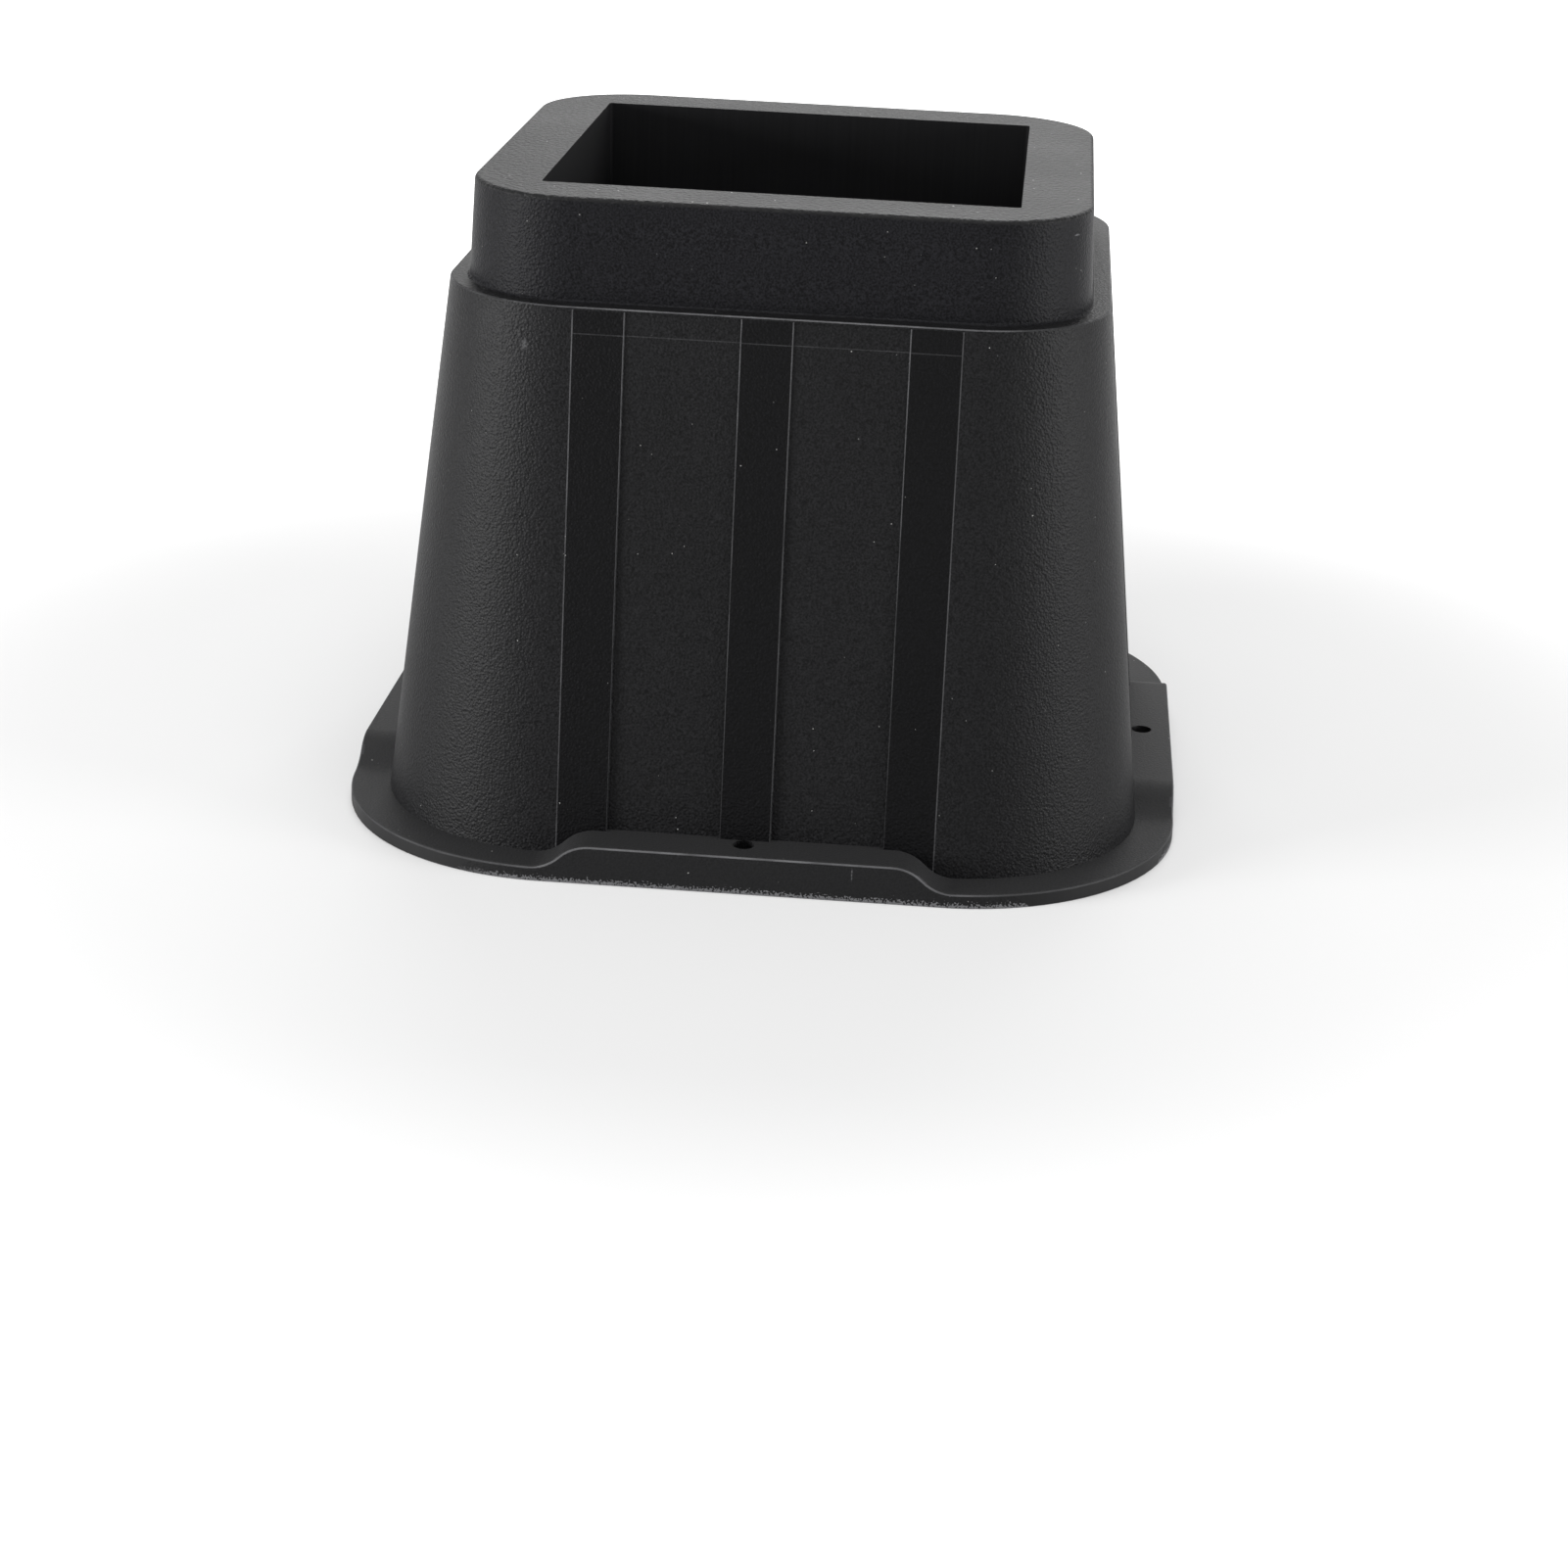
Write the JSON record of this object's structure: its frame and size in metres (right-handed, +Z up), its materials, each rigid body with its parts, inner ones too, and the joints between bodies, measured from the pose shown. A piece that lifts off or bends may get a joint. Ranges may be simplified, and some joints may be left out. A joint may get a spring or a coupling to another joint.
{
  "type": "bed riser",
  "caption": "Tapered square bed riser, hollow and stackable, with a square cup on top for the bed foot and a flanged base with screw holes.",
  "frame": {"origin": "centre of the base, at floor level", "axes": "+Z up through the cup, X and Y square to the sides"},
  "size_m": [0.1666, 0.1666, 0.127],
  "materials": {
    "polypropylene": "black, fine grain, matt"
  },
  "bodies": {
    "root": {"riser": "polypropylene"}
  },
  "joints": []
}
